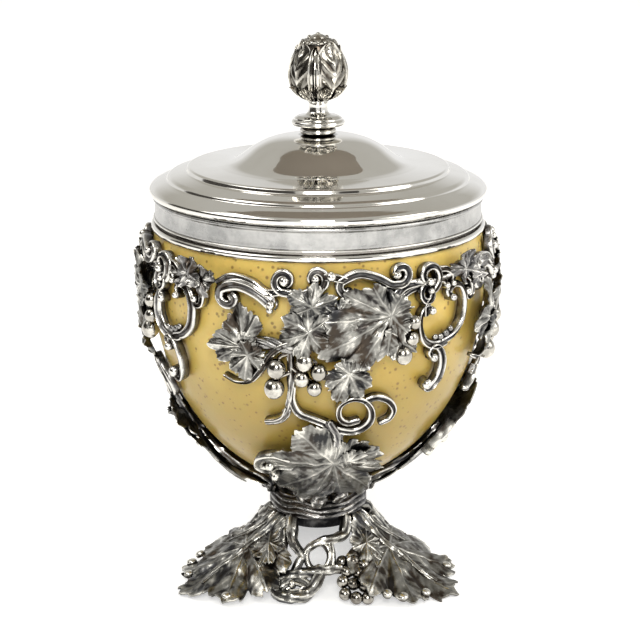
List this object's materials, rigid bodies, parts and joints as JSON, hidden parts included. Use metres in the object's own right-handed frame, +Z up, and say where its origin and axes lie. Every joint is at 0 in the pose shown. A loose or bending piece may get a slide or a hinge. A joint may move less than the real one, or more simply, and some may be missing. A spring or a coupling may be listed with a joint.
{
  "type": "covered cup",
  "caption": "Covered cup made from an ostrich egg in a cast grapevine cradle, with a lift-off stepped lid, bud finial and leaf foot.",
  "frame": {"origin": "centre of the foot on the table", "axes": "+Z up along the cup's axis; -Y is the front, where one cradle panel faces the viewer"},
  "size_m": [0.1386, 0.1386, 0.2088],
  "materials": {
    "lid_silver": "mirror polished silver",
    "satin_silver": "satin silver, finely scratched",
    "cast_silver": "cast silver, darkened in the recesses",
    "hidden_steel": "plain",
    "egg_shell": "satin cream egg shell with small pores"
  },
  "bodies": {
    "cup": {"collar_band": "satin_silver", "collar_moulding": "lid_silver", "collar_sleeve": "lid_silver", "egg_cup": "egg_shell", "front_crest": "cast_silver", "right_crest": "cast_silver", "back_crest": "cast_silver", "left_crest": "cast_silver", "front_hoop": "cast_silver", "right_hoop": "cast_silver", "back_hoop": "cast_silver", "left_hoop": "cast_silver", "front_vine": "cast_silver", "right_vine": "cast_silver", "back_vine": "cast_silver", "left_vine": "cast_silver", "front_big_leaf": "cast_silver", "right_big_leaf": "cast_silver", "back_big_leaf": "cast_silver", "left_big_leaf": "cast_silver", "front_centre_leaf": "cast_silver", "right_centre_leaf": "cast_silver", "back_centre_leaf": "cast_silver", "left_centre_leaf": "cast_silver", "front_side_leaf": "cast_silver", "right_side_leaf": "cast_silver", "back_side_leaf": "cast_silver", "left_side_leaf": "cast_silver", "front_grapes": "cast_silver", "right_grapes": "cast_silver", "back_grapes": "cast_silver", "left_grapes": "cast_silver", "front_low_leaf": "cast_silver", "right_low_leaf": "cast_silver", "back_low_leaf": "cast_silver", "left_low_leaf": "cast_silver", "stem_ring": "cast_silver", "egg_seat": "satin_silver", "cup_bolt": "hidden_steel", "cup_nut": "hidden_steel", "right_foot_leaf": "cast_silver", "back_foot_leaf": "cast_silver", "left_foot_leaf": "cast_silver", "front_foot_root": "cast_silver", "right_foot_root": "cast_silver", "left_foot_root": "cast_silver", "front_foot_grapes": "cast_silver", "right_foot_grapes": "cast_silver", "left_foot_grapes": "cast_silver"},
    "lid": {"lid_shell": "lid_silver", "lid_bezel": "lid_silver", "finial_knop": "lid_silver", "finial_bud": "cast_silver", "finial_flower": "cast_silver", "finial_stud": "hidden_steel", "finial_nut": "hidden_steel"}
  },
  "joints": [
    {"name": "lid_lift", "type": "slide", "parent": "cup", "child": "lid", "axis": [0, 0, 1], "range_m": [0, 0.08]}
  ]
}
